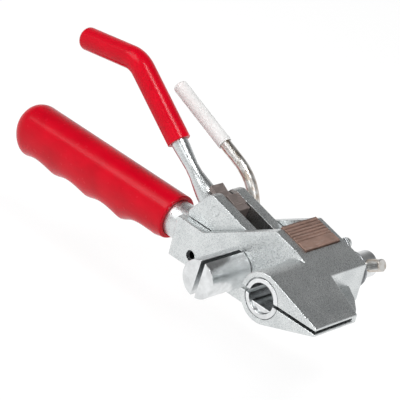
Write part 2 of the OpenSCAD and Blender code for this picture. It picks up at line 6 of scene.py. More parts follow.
import bmesh
import bpy
from bpy.props import FloatProperty, FloatVectorProperty, IntProperty, PointerProperty
from mathutils import Matrix, Vector
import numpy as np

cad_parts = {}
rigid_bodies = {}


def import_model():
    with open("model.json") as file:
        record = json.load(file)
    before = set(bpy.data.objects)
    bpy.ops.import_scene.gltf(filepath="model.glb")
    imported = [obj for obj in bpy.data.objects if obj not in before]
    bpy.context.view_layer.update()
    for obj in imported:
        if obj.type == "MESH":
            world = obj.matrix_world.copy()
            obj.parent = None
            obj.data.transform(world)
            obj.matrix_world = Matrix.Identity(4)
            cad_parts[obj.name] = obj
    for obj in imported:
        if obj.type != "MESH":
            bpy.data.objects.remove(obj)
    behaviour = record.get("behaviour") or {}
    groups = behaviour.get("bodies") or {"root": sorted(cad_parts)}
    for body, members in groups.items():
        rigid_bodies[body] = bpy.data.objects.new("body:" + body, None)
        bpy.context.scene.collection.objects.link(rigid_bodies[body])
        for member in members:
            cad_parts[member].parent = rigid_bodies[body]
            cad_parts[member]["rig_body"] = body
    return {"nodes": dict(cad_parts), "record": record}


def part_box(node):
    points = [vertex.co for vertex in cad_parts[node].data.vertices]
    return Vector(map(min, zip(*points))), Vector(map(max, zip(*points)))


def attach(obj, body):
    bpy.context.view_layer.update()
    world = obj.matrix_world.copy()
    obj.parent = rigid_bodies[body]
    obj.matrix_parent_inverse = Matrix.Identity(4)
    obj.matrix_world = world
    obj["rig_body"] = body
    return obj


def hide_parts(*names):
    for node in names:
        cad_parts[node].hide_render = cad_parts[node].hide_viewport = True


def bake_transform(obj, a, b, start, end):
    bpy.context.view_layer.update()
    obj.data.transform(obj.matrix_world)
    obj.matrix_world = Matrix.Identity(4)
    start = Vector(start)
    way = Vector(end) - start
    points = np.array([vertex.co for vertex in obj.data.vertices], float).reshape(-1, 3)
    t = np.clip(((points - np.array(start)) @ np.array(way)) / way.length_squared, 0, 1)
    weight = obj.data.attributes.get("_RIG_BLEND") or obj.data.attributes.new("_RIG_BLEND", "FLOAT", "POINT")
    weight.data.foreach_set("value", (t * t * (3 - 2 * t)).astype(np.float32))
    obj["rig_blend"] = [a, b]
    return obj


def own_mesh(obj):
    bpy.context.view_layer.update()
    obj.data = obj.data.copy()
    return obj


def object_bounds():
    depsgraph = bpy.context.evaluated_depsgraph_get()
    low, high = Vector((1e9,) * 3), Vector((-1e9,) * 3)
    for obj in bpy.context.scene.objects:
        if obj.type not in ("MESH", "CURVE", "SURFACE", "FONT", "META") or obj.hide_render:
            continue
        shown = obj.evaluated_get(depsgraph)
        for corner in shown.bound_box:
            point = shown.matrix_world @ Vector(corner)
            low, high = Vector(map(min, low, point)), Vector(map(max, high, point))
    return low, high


bl_info = {
    "name": "Strapping band tensioner",
    "version": (1, 0, 0),
    "blender": (4, 5, 0),
    "location": "3D View > Sidebar > Tensioner",
    "description": "Builds the visual model of a ratchet band tensioner with a lever cutter",
    "category": "Object",
}

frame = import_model()
CAD_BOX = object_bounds()
SLOT_OF = {row["node"]: row["material_slot"] for row in frame["record"]["subparts"]}
MM = 0.001

# The handle's axis lies in the middle plane of the body, and the spindle lies on Y through the origin
TUBE_LOW, TUBE_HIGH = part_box("handle_tube")
MID_Y = (TUBE_LOW.y + TUBE_HIGH.y) / 2
HANDLE_Z = (TUBE_LOW.z + TUBE_HIGH.z) / 2
TUBE_R = (TUBE_HIGH.z - TUBE_LOW.z) / 2

# The box between the inner face of the near cheek and the far side of the recess under the thumb pad
BODY_LOW, BODY_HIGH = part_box("body")
NEAR_CHEEK_Y = 5.4 * MM
RECESS_FAR_Y = 32.2 * MM
CHEEK_GAP = (
    Vector((BODY_LOW.x, NEAR_CHEEK_Y, BODY_LOW.z)),
    Vector((BODY_HIGH.x, RECESS_FAR_Y, BODY_HIGH.z)),
)

# The box where the fillet of the boss runs out in the near cheek and the front slope
BOSS_FILLET = (Vector((32.6, -2.5, 15)) * MM, Vector((44, 1.5, 27)) * MM)

# Centre lines of the levers in their own XZ planes, from the root to the free end, with bend radii, in mm
RATCHET_LEVER = [(-36, 10.5), (-106, 61.8), (-142.5, 57.6)]
RATCHET_BENDS = [0, 15, 0]
RATCHET_MOUTH = (-67.5, 33.6)
CUTTER_LEVER = [(51.3, 17.8), (-18.7, -21.4), (-39.5, 21.4), (-98.6, 45.3)]
CUTTER_BENDS = [0, 20, 27, 0]
CUTTER_MOUTH = (-61, 30.1)
CUTTER_LEVER_Y = 47

# Axes of the cutter shaft and of the stud of its return spring in XZ, in mm
CUTTER_AXIS = (38.6, 10.7)
STUD_AXIS = (31.5, 21.3)
STUD_R = 3


def linear(hex_colour):
    """An sRGB hex colour as linear red, green and blue."""
    values = [int(hex_colour[i : i + 2], 16) / 255 for i in (1, 3, 5)]
    return [v / 12.92 if v <= 0.04045 else ((v + 0.055) / 1.055) ** 2.4 for v in values]


def colour(label, description, hex_colour):
    return FloatVectorProperty(
        name=label, description=description, subtype="COLOR", size=3, min=0, max=1, default=linear(hex_colour)
    )


def length(label, description, millimetres):
    return FloatProperty(name=label, description=description, unit="LENGTH", min=0, default=millimetres * MM)


def angle(label, description, degrees):
    return FloatProperty(name=label, description=description, subtype="ANGLE", default=math.radians(degrees))


class TensionerSizes(bpy.types.PropertyGroup):
    """Sizes of the pieces that are made here"""

    casting_edge: length("Casting edge", "Width of the rounded edges of the body and the yoke", 0.6)
    machined_edge: length("Machined edge", "Width of the broken edges of turned and milled pieces", 0.35)
    small_edge: length("Small edge", "Width of the broken edges of small pieces", 0.2)
    lever_rod: length("Ratchet lever rod", "Radius of the ratchet lever rod", 4.5)
    lever_sleeve: length("Ratchet lever sleeve", "Outer radius of the red sleeve", 6.25)
    cutter_rod: length("Cutter lever rod", "Radius of the cutter lever rod", 3.2)
    cutter_sleeve: length("Cutter lever sleeve", "Outer radius of the white sleeve", 3.9)
    vinyl_edge: length("Vinyl edge", "Width of the rounded edge at the mouth of a grip or sleeve", 0.6)
    grip_mouth: length("Grip mouth", "Radius of the main grip at its mouth", 12.5)
    grip_drop: length("Grip drop", "Extra depth of the underside at the mouth", 1.1)
    grip_swell: length("Grip swell", "Depth that the underside gains behind the mouth", 4.2)
    groove_pitch: length("Groove pitch", "Spacing of the finger grooves", 25.7)
    groove_depth: length("Groove depth", "Depth of the finger grooves", 2.9)
    pawl_coil: length("Pawl spring coil", "Coil radius of the two pawl springs", 2.2)
    pawl_wire: length("Pawl spring wire", "Wire radius of the two pawl springs", 0.4)
    return_coil: length("Return spring coil", "Coil radius of the cutter's return spring", 8.9)
    return_wire: length("Return spring wire", "Wire radius of the cutter's return spring", 0.7)
    sides: IntProperty(name="Sides", description="Sides of a swept round bar", default=40, min=8)


class TensionerColours(bpy.types.PropertyGroup):
    """Colours of the finishes"""

    zinc: colour("Zinc", "Bright zinc plating on the castings", "#dee1e1")
    zinc_dull: colour("Zinc, dull", "Dull grains of that plating", "#c1c5c6")
    rod: colour("Rod zinc", "Zinc on the drawn rods", "#dcdbd8")
    rod_stain: colour("Rod stain", "Yellow-brown passivation on the rods", "#b3a698")
    turned: colour("Turned steel", "Turned and plated steel", "#e6e8e9")
    oiled: colour("Oiled steel", "Dark hardened steel", "#565658")
    pad: colour("Phosphate, brown", "Phosphate coat of the holding pawl and its pad", "#a48578")
    pawl: colour("Phosphate, grey", "Phosphate coat of the drive pawl", "#8b7f7b")
    bare: colour("Bare edge", "Steel where the coat is worn off", "#cbbcb3")
    wire: colour("Spring wire", "Drawn spring wire", "#9b9da0")
    red: colour("Red vinyl", "Dip-coated grips", "#ca021e")
    red_deep: colour("Red vinyl, deep", "Thicker stretches of the red coat", "#bc001a")
    white: colour("White vinyl", "Sleeve of the cutter lever", "#e4e3e2")
    white_deep: colour("White vinyl, deep", "Thicker stretches of the white sleeve", "#dededd")
    floor: colour("Floor", "Studio floor", "#f7f7f7")


class TensionerStage(bpy.types.PropertyGroup):
    """Place and lens of the camera"""

    azimuth: angle("Azimuth", "Turn of the camera about Z from the near side", 37.58)
    elevation: angle("Elevation", "Height of the camera above the horizon", 25.59)
    roll: angle("Roll", "Turn of the camera about its line of sight", 14.16)
    distance: length("Distance", "Distance of the camera from the origin along its line of sight", 982.68)
    right: length("Right", "Place of the origin to the right of the picture's centre", 17.67)
    down: length("Down", "Place of the origin below the picture's centre", 33.14)
    lens: FloatProperty(name="Lens", description="Focal length on a 36 mm sensor, in mm", default=180)


def add(tree, kind, inputs=None, out=0, **settings):
    """Adds a node with its settings and returns one output. Inputs that are sockets are linked, others set.

    A Mix node's sockets share names, so they go by number: 0 is the factor, 2 and 3 are values, 6 and 7 are
    colours, and output 2 is the mixed colour.
    """
    made = tree.nodes.new(kind)
    for name, value in settings.items():
        setattr(made, name, value)
    for name, value in (inputs or {}).items():
        if isinstance(value, bpy.types.NodeSocket):
            tree.links.new(value, made.inputs[name])
        else:
            made.inputs[name].default_value = value
    return made.outputs[out] if made.outputs else None


def per_mm(size):
    """Scale of a pattern on metre coordinates whose features are that many millimetres wide."""
    return 1 / (size * MM)


def new_material(name):
    """A material with an empty node tree."""
    made = bpy.data.materials.new(name)
    made.use_nodes = True
    made.node_tree.nodes.clear()
    return made


def zinc_plated_casting(name, bright, dull, grain_depth):
    # Bright zinc over a blasted casting: a satin metal with a pebbled skin, whose grains glint one by one,
    # and slow clouds of duller plating. The grains are drawn 0.5 mm wide so that they show.
    made = new_material(name)
    tree = made.node_tree
    place = add(tree, "ShaderNodeTexCoord", out="Object")
    grain_noise = {"Vector": place, "Scale": per_mm(0.5), "Detail": 2.0, "Roughness": 0.6}
    grain = add(tree, "ShaderNodeTexNoise", grain_noise)
    clouds = add(tree, "ShaderNodeTexNoise", {"Vector": place, "Scale": per_mm(12), "Detail": 2.0})
    mixed = add(tree, "ShaderNodeMix", {2: grain, 3: clouds, 0: 0.35})
    share = add(tree, "ShaderNodeMapRange", {"Value": mixed, "From Min": 0.4, "From Max": 0.58})
    tone = add(tree, "ShaderNodeMix", {0: share, 6: (*dull, 1), 7: (*bright, 1)}, out=2, data_type="RGBA")
    rough_range = {"Value": grain, "From Min": 0.3, "From Max": 0.7, "To Min": 0.22, "To Max": 0.38}
    roughness = add(tree, "ShaderNodeMapRange", rough_range)
    normal = add(tree, "ShaderNodeBump", {"Height": grain, "Distance": grain_depth * MM, "Strength": 0.5})
    shading = {"Base Color": tone, "Metallic": 1.0, "Roughness": roughness, "Normal": normal}
    add(tree, "ShaderNodeOutputMaterial", {"Surface": add(tree, "ShaderNodeBsdfPrincipled", shading)})
    return made


def zinc_plated_rod(name, bright, stain):
    # Zinc on a drawn bar: brighter and smoother than a casting, with long streaks of yellow-brown passivation
    # and shallow waves from bending that break up its highlights.
    made = new_material(name)
    tree = made.node_tree
    place = add(tree, "ShaderNodeTexCoord", out="Object")
    along = add(tree, "ShaderNodeMapping", {"Vector": place, "Scale": (0.3, 1, 0.5)}, vector_type="POINT")
    streaks = add(tree, "ShaderNodeTexNoise", {"Vector": along, "Scale": per_mm(1.8), "Detail": 3.0})
    waves = add(tree, "ShaderNodeTexNoise", {"Vector": place, "Scale": per_mm(3.2), "Detail": 1.0})
    share = add(tree, "ShaderNodeMapRange", {"Value": streaks, "From Min": 0.36, "From Max": 0.56})
    tone = add(tree, "ShaderNodeMix", {0: share, 6: (*stain, 1), 7: (*bright, 1)}, out=2, data_type="RGBA")
    roughness = add(tree, "ShaderNodeMapRange", {"Value": streaks, "To Min": 0.22, "To Max": 0.42})
    normal = add(tree, "ShaderNodeBump", {"Height": waves, "Distance": 0.15 * MM, "Strength": 0.5})
    shading = {"Base Color": tone, "Metallic": 1.0, "Roughness": roughness, "Normal": normal}
    add(tree, "ShaderNodeOutputMaterial", {"Surface": add(tree, "ShaderNodeBsdfPrincipled", shading)})
    return made


def turned_steel(name, bright):
    # Turned steel: a bright, even polish with fine tool rings about Y, drawn 0.5 mm apart so that they show,
    # and faint cloudy handling marks.
    made = new_material(name)
    tree = made.node_tree
    place = add(tree, "ShaderNodeTexCoord", out="Object")
    ring_scale = {"Vector": place, "Scale": (0.03, 1, 0.03)}
    rings_place = add(tree, "ShaderNodeMapping", ring_scale, vector_type="POINT")
    rings = add(tree, "ShaderNodeTexNoise", {"Vector": rings_place, "Scale": per_mm(0.5), "Detail": 1.0})
    marks = add(tree, "ShaderNodeTexNoise", {"Vector": place, "Scale": per_mm(6), "Detail": 3.0})
    dull = [value * 0.8 for value in bright]
    share = add(tree, "ShaderNodeMapRange", {"Value": marks, "From Min": 0.35, "From Max": 0.6})
    tone = add(tree, "ShaderNodeMix", {0: share, 6: (*dull, 1), 7: (*bright, 1)}, out=2, data_type="RGBA")
    roughness = add(tree, "ShaderNodeMapRange", {"Value": rings, "To Min": 0.18, "To Max": 0.3})
    normal = add(tree, "ShaderNodeBump", {"Height": rings, "Distance": 0.03 * MM, "Strength": 0.3})
    shading = {"Base Color": tone, "Metallic": 1.0, "Roughness": roughness, "Normal": normal}
    add(tree, "ShaderNodeOutputMaterial", {"Surface": add(tree, "ShaderNodeBsdfPrincipled", shading)})
    return made


def oiled_steel(name, tint):
    # Hardened steel under oil: dark and half glossy, with the oil lying unevenly.
    made = new_material(name)
    tree = made.node_tree
    place = add(tree, "ShaderNodeTexCoord", out="Object")
    oil = add(tree, "ShaderNodeTexNoise", {"Vector": place, "Scale": per_mm(2.5), "Detail": 3.0})
    dark = [value * 0.5 for value in tint]
    tone = add(tree, "ShaderNodeMix", {0: oil, 6: (*dark, 1), 7: (*tint, 1)}, out=2, data_type="RGBA")
    roughness = add(tree, "ShaderNodeMapRange", {"Value": oil, "To Min": 0.2, "To Max": 0.5})
    normal = add(tree, "ShaderNodeBump", {"Height": oil, "Distance": 0.05 * MM, "Strength": 0.3})
    shading = {"Base Color": tone, "Metallic": 1.0, "Roughness": roughness, "Normal": normal}
    add(tree, "ShaderNodeOutputMaterial", {"Surface": add(tree, "ShaderNodeBsdfPrincipled", shading)})
    return made


# Ribs of the thumb pad along X: where they begin and end and their pitch in mm, and the share that is groove
FIRST_RIB = 15.9
LAST_RIB = 25
RIB_PITCH = 1.854
RIB_GROOVE = 0.4


def phosphated_steel(name, coat, bare, first_rib=0.0, last_rib=0.0):
    # Phosphated steel: a dull crystal coat over metal, blotched by oil, with light scratches across the tool
    # where thumbs and teeth have rubbed it. Between the first and the last rib, the grooves are darkened with
    # painted shade. The crystals are drawn 0.7 mm wide and the scratches 0.6 mm, so that they show.
    made = new_material(name)
    tree = made.node_tree
    place = add(tree, "ShaderNodeTexCoord", out="Object")
    across = add(tree, "ShaderNodeMapping", {"Vector": place, "Scale": (1, 0.1, 1)}, vector_type="POINT")
    crystals = add(tree, "ShaderNodeTexNoise", {"Vector": place, "Scale": per_mm(0.7), "Detail": 3.0})
    blotches = add(tree, "ShaderNodeTexNoise", {"Vector": place, "Scale": per_mm(5), "Detail": 3.0})
    scratches = add(tree, "ShaderNodeTexNoise", {"Vector": across, "Scale": per_mm(0.6), "Detail": 2.0})
    dark = [value * 0.75 for value in coat]
    share = add(tree, "ShaderNodeMapRange", {"Value": blotches, "From Min": 0.35, "From Max": 0.62})
    skin = add(tree, "ShaderNodeMix", {0: share, 6: (*dark, 1), 7: (*coat, 1)}, out=2, data_type="RGBA")
    rub_range = {"Value": scratches, "From Min": 0.56, "From Max": 0.7, "To Max": 0.35}
    rubbed = add(tree, "ShaderNodeMapRange", rub_range)
    tone = add(tree, "ShaderNodeMix", {0: rubbed, 6: skin, 7: (*bare, 1)}, out=2, data_type="RGBA")
    if last_rib > first_rib:
        x = add(tree, "ShaderNodeSeparateXYZ", {0: place}, out="X")
        past = add(tree, "ShaderNodeMath", {0: x, 1: first_rib * MM}, operation="SUBTRACT")
        ribs = add(tree, "ShaderNodeMath", {0: past, 1: per_mm(RIB_PITCH)}, operation="MULTIPLY")
        within = add(tree, "ShaderNodeMath", {0: ribs}, operation="FRACT")
        groove = add(tree, "ShaderNodeMath", {0: within, 1: RIB_GROOVE}, operation="LESS_THAN")
        behind = add(tree, "ShaderNodeMath", {0: x, 1: last_rib * MM}, operation="LESS_THAN")
        # Painted shade: the grooves between the first and the last rib are mixed towards a dark tone of the
        # coat
        groove_shade_mask = add(tree, "ShaderNodeMath", {0: groove, 1: behind}, operation="MULTIPLY")
        painted_groove_shade = add(tree, "ShaderNodeMath", {0: groove_shade_mask, 1: 0.55}, operation="MULTIPLY")
        groove_shade_tone = [value * 0.25 for value in coat]
        tone = add(tree, "ShaderNodeMix", {0: painted_groove_shade, 6: tone, 7: (*groove_shade_tone, 1)}, out=2, data_type="RGBA")
    roughness = add(tree, "ShaderNodeMapRange", {"Value": crystals, "To Min": 0.28, "To Max": 0.6})
    normal = add(tree, "ShaderNodeBump", {"Height": crystals, "Distance": 0.06 * MM, "Strength": 0.4})
    shading = {"Base Color": tone, "Metallic": 0.45, "Roughness": roughness, "Normal": normal}
    add(tree, "ShaderNodeOutputMaterial", {"Surface": add(tree, "ShaderNodeBsdfPrincipled", shading)})
    return made


def dipped_vinyl(name, thin, thick, gloss):
    # Soft PVC from a dip: glossy, with the slow orange peel of a liquid coat and a deeper colour where it is
    # thick. Its specular level is low, because the white light of the photo hardly washes the red out.
    made = new_material(name)
    tree = made.node_tree
    place = add(tree, "ShaderNodeTexCoord", out="Object")
    flow = add(tree, "ShaderNodeTexNoise", {"Vector": place, "Scale": per_mm(16), "Detail": 2.0})
    peel = add(tree, "ShaderNodeTexNoise", {"Vector": place, "Scale": per_mm(3), "Detail": 1.0})
    share = add(tree, "ShaderNodeMapRange", {"Value": flow, "From Min": 0.35, "From Max": 0.65})
    tone = add(tree, "ShaderNodeMix", {0: share, 6: (*thick, 1), 7: (*thin, 1)}, out=2, data_type="RGBA")
    gloss_range = {"Value": peel, "To Min": gloss - 0.06, "To Max": gloss + 0.1}
    roughness = add(tree, "ShaderNodeMapRange", gloss_range)
    normal = add(tree, "ShaderNodeBump", {"Height": peel, "Distance": 0.08 * MM, "Strength": 0.1})
    shading = {"Base Color": tone, "Roughness": roughness, "Normal": normal}
    shading.update({"IOR": 1.53, "Specular IOR Level": 0.14})
    add(tree, "ShaderNodeOutputMaterial", {"Surface": add(tree, "ShaderNodeBsdfPrincipled", shading)})
    return made


FINISHES = {}


def make_finishes(colours):
    """Makes every finish, by the name that the pieces ask for."""
    c = colours
    zinc = (c.zinc, c.zinc_dull)
    FINISHES["zinc_casting"] = zinc_plated_casting("Zinc-plated cast steel", *zinc, grain_depth=0.3)
    FINISHES["zinc_bar"] = zinc_plated_casting("Zinc-plated lever bar", *zinc, grain_depth=0.06)
    FINISHES["zinc_rod"] = zinc_plated_rod("Zinc-plated drawn rod", c.rod, c.rod_stain)
    FINISHES["turned_steel"] = turned_steel("Turned and plated steel", c.turned)
    FINISHES["dark_steel"] = oiled_steel("Oiled hardened steel", c.oiled)
    FINISHES["phosphate"] = phosphated_steel("Grey phosphated steel", c.pawl, c.bare)
    FINISHES["phosphate_pad"] = phosphated_steel("Brown phosphated steel", c.pad, c.bare, FIRST_RIB, LAST_RIB)
    FINISHES["spring_steel"] = zinc_plated_rod("Drawn spring wire", c.wire, [value * 0.7 for value in c.wire])
    FINISHES["red_vinyl"] = dipped_vinyl("Red dipped vinyl", c.red, c.red_deep, gloss=0.22)
    FINISHES["white_vinyl"] = dipped_vinyl("White vinyl sleeve", c.white, c.white_deep, gloss=0.32)


def link(obj):
    bpy.context.scene.collection.objects.link(obj)
    return obj


def settle(obj):
    """Turns an object with modifiers into a plain mesh."""
    depsgraph = bpy.context.evaluated_depsgraph_get()
    mesh = bpy.data.meshes.new_from_object(obj.evaluated_get(depsgraph))
    obj.modifiers.clear()
    obj.data = mesh
    return obj


def stand_for(obj, node):
    """Puts a finished piece in the place of a CAD node, in that node's body, and hides the node."""
    if "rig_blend" not in obj:
        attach(obj, frame["nodes"][node]["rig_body"])
    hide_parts(node)
    return obj


# Edges of a swept piece are rounded above the first angle. Of what is left, those above the second look sharp
ROUNDED_FROM = math.radians(50)
STAYS_SHARP = math.radians(38)


def round_edges(obj, width, segments=2, weighted=False):
    """Rounds the sharp edges of a mesh, and adds a modifier that keeps flats flat and other edges crisp."""
    bevel = obj.modifiers.new("Broken edges", "BEVEL")
    bevel.width = width
    bevel.segments = segments
    bevel.limit_method = "WEIGHT" if weighted else "ANGLE"
    bevel.angle_limit = ROUNDED_FROM
    bevel.use_clamp_overlap = False
    settle(obj)
    shape = bmesh.new()
    shape.from_mesh(obj.data)
    for edge in shape.edges:
        if edge.is_manifold and edge.calc_face_angle() > STAYS_SHARP:
            edge.smooth = False
    shape.to_mesh(obj.data)
    shape.free()
    even = obj.modifiers.new("Even shading", "WEIGHTED_NORMAL")
    even.keep_sharp = True


# Lengths that count as one in the CAD mesh, in places and in widths, and the thinnest rounding
SAME_POINT = 0.002 * MM
SAME_PLACE = 0.01 * MM
SAME_WIDTH = 0.001 * MM
LEAST_EDGE = 0.05 * MM
# The share of the room beside an edge that its rounding may take, and the corners that a facet has at most
ROOM_USED = 0.45
FEW_CORNERS = 8
# Angles between faces that count as one flat or as a sharp edge, and between edges that form one run
ONE_FLAT = math.radians(0.4)
SHARP = math.radians(28)
STRAIGHT_ON = math.radians(150)


def holds(box, edge):
    """Whether an edge lies in a box."""
    low, high = box
    ends = [vert.co for vert in edge.verts]
    return all(low[i] - SAME_PLACE < end[i] < high[i] + SAME_PLACE for end in ends for i in range(3))


def edges_beside(edge, others):
    """Edges that follow an edge round its faces or among the others, with their length and angle to it."""
    for vert in edge.verts:
        ahead = edge.other_vert(vert).co - vert.co
        for beside in vert.link_edges:
            if beside is edge:
                continue
            if beside in others or any(face in edge.link_faces for face in beside.link_faces):
                run = beside.other_vert(vert).co - vert.co
                yield beside, run.length, ahead.angle(run, math.pi)


def room_for_rounding(edges):
    """Widths that edges can be rounded to.

    A rounding stays within the narrow flats and the edges beside it. Edges that form one run differ by no
    more than they turn, which is passed on from edge to edge until nothing changes.
    """
    room = dict.fromkeys(edges, math.inf)
    for edge in edges:
        along = edge.calc_length()
        for face in edge.link_faces:
            if len(face.verts) > FEW_CORNERS:
                mean_width = 2 * face.calc_area() / face.calc_perimeter()
                room[edge] = min(room[edge], ROOM_USED * mean_width)
        for beside, reach, turn in edges_beside(edge, room):
            if turn < STRAIGHT_ON:
                room[edge] = min(room[edge], ROOM_USED * reach * math.sin(turn))
            if beside not in room:
                room[edge] = min(room[edge], ROOM_USED * along * abs(math.tan(turn)))
    waiting = dict.fromkeys(edges)
    while waiting:
        edge, _ = waiting.popitem()
        for beside, reach, turn in edges_beside(edge, room):
            if turn >= STRAIGHT_ON and beside in room:
                start = room[beside] if room[beside] > LEAST_EDGE else 0
                most = start + ROOM_USED * reach * math.sin(turn)
                if most < room[edge] - SAME_WIDTH:
                    room[edge] = most
                    near = [other for other, _, _ in edges_beside(edge, room) if other in room]
                    waiting.update(dict.fromkeys(near))
    return room


def weigh_edges(shape, width, plain):
    """Gives each sharp outer edge its share of the width. Inner edges and those in plain boxes stay sharp."""
    weights = shape.edges.layers.float.new("bevel_weight_edge")
    sharp = [edge for edge in shape.edges if edge.is_manifold and edge.calc_face_angle() > SHARP]
    outer = [edge for edge in sharp if edge.is_convex and not any(holds(box, edge) for box in plain)]
    room = room_for_rounding(outer)
    for edge in sharp:
        if room.get(edge, 0) > LEAST_EDGE:
            edge[weights] = min(width, room[edge]) / width
        else:
            edge.smooth = False


def broken_edges(name, node, width, finish, plain=(), run_out=None):
    """A copy of a CAD node whose outer edges are rounded, but for those in plain boxes.

    The roundings stop at the rear of the box that they run out in, where the flats are cut across for that.
    """
    obj = link(bpy.data.objects.new(name, frame["nodes"][node].data.copy()))
    shape = bmesh.new()
    shape.from_mesh(obj.data)
    bmesh.ops.remove_doubles(shape, verts=shape.verts, dist=SAME_POINT)
    bmesh.ops.dissolve_limit(shape, angle_limit=ONE_FLAT, verts=shape.verts, edges=shape.edges, delimit=set())
    for face in shape.faces:
        face.material_index = 0
        face.smooth = True
    if run_out:
        inside = [edge for edge in shape.edges if holds(run_out, edge)]
        reached = dict.fromkeys(face for edge in inside for face in edge.link_faces)
        flats = [face for face in reached if len(face.verts) > FEW_CORNERS]
        parts = dict.fromkeys(part for face in flats for part in (face, *face.edges, *face.verts))
        bmesh.ops.bisect_plane(shape, geom=list(parts), plane_co=run_out[0], plane_no=(1, 0, 0))
        plain = [*plain, run_out]
    weigh_edges(shape, width, plain)
    shape.to_mesh(obj.data)
    shape.free()
    obj.data.materials.clear()
    obj.data.materials.append(FINISHES[finish])
    round_edges(obj, width, segments=3, weighted=True)
    return stand_for(settle(obj), node)


def new_tree(name, **labels):
    """An empty geometry node tree with its inputs, listed by kind, and the sockets that give them."""
    tree = bpy.data.node_groups.new(name, "GeometryNodeTree")
    tree.interface.new_socket("Geometry", in_out="INPUT", socket_type="NodeSocketGeometry")
    tree.interface.new_socket("Material", in_out="INPUT", socket_type="NodeSocketMaterial")
    for kind, listed in labels.items():
        for label in listed:
            tree.interface.new_socket(label, in_out="INPUT", socket_type="NodeSocket" + kind)
    tree.interface.new_socket("Geometry", in_out="OUTPUT", socket_type="NodeSocketGeometry")
    return tree, add(tree, "NodeGroupInput").node.outputs


def close_tree(tree, geometry, material):
    """Ends a tree in realized, smooth and painted geometry."""
    real = add(tree, "GeometryNodeRealizeInstances", {"Geometry": geometry})
    smooth = add(tree, "GeometryNodeSetShadeSmooth", {"Geometry": real})
    painted = add(tree, "GeometryNodeSetMaterial", {"Geometry": smooth, "Material": material})
    add(tree, "NodeGroupOutput", {"Geometry": painted})
    return tree


BEND_POINTS = 16


def bent_bar_tree():
    """A round bar along a line of points, filleted by their bend attribute, with a domed end."""
    tree, given = new_tree("Bent bar", Float=["Radius", "Step", "Dome", "End face"], Int=["Sides"])
    line = add(tree, "GeometryNodeMeshToCurve", {"Mesh": given["Geometry"]})
    bend = add(tree, "GeometryNodeInputNamedAttribute", {"Name": "bend"}, data_type="FLOAT")
    fillet_inputs = {"Curve": line, "Count": BEND_POINTS, "Radius": bend}
    smooth = add(tree, "GeometryNodeFilletCurve", fillet_inputs, mode="POLY")
    even = add(tree, "GeometryNodeResampleCurve", {"Curve": smooth, "Length": given["Step"]}, mode="LENGTH")
    along = add(tree, "GeometryNodeSplineParameter", out="Length")
    whole = add(tree, "GeometryNodeSplineLength", out="Length")
    ahead = add(tree, "ShaderNodeMath", {0: whole, 1: along}, operation="SUBTRACT")
    past_range = {"Value": ahead, "From Max": given["Dome"], "To Min": 1.0, "To Max": 0.0}
    past = add(tree, "ShaderNodeMapRange", past_range)
    square = add(tree, "ShaderNodeMath", {0: past, 1: past}, operation="MULTIPLY")
    left = add(tree, "ShaderNodeMath", {0: 1.0, 1: square}, operation="SUBTRACT")
    ellipse = add(tree, "ShaderNodeMath", {0: left}, operation="SQRT")
    share = add(tree, "ShaderNodeMapRange", {"Value": ellipse, "To Min": given["End face"]})
    ring_inputs = {"Resolution": given["Sides"], "Radius": given["Radius"]}
    ring = add(tree, "GeometryNodeCurvePrimitiveCircle", ring_inputs, mode="RADIUS")
    bar_inputs = {"Curve": even, "Profile Curve": ring, "Scale": share, "Fill Caps": True}
    return close_tree(tree, add(tree, "GeometryNodeCurveToMesh", bar_inputs), given["Material"])


# The grip grows by this share of its length, swells from this far behind its mouth over this run, and has the
# first of its crests at this X. The power makes the crests between the finger grooves broader.
GRIP_TAPER = 0.01
GRIP_SWELL_START = 9 * MM
GRIP_SWELL_RUN = 24 * MM
GRIP_FIRST_CREST = -90.4 * MM
GRIP_CREST_POWER = 1.4


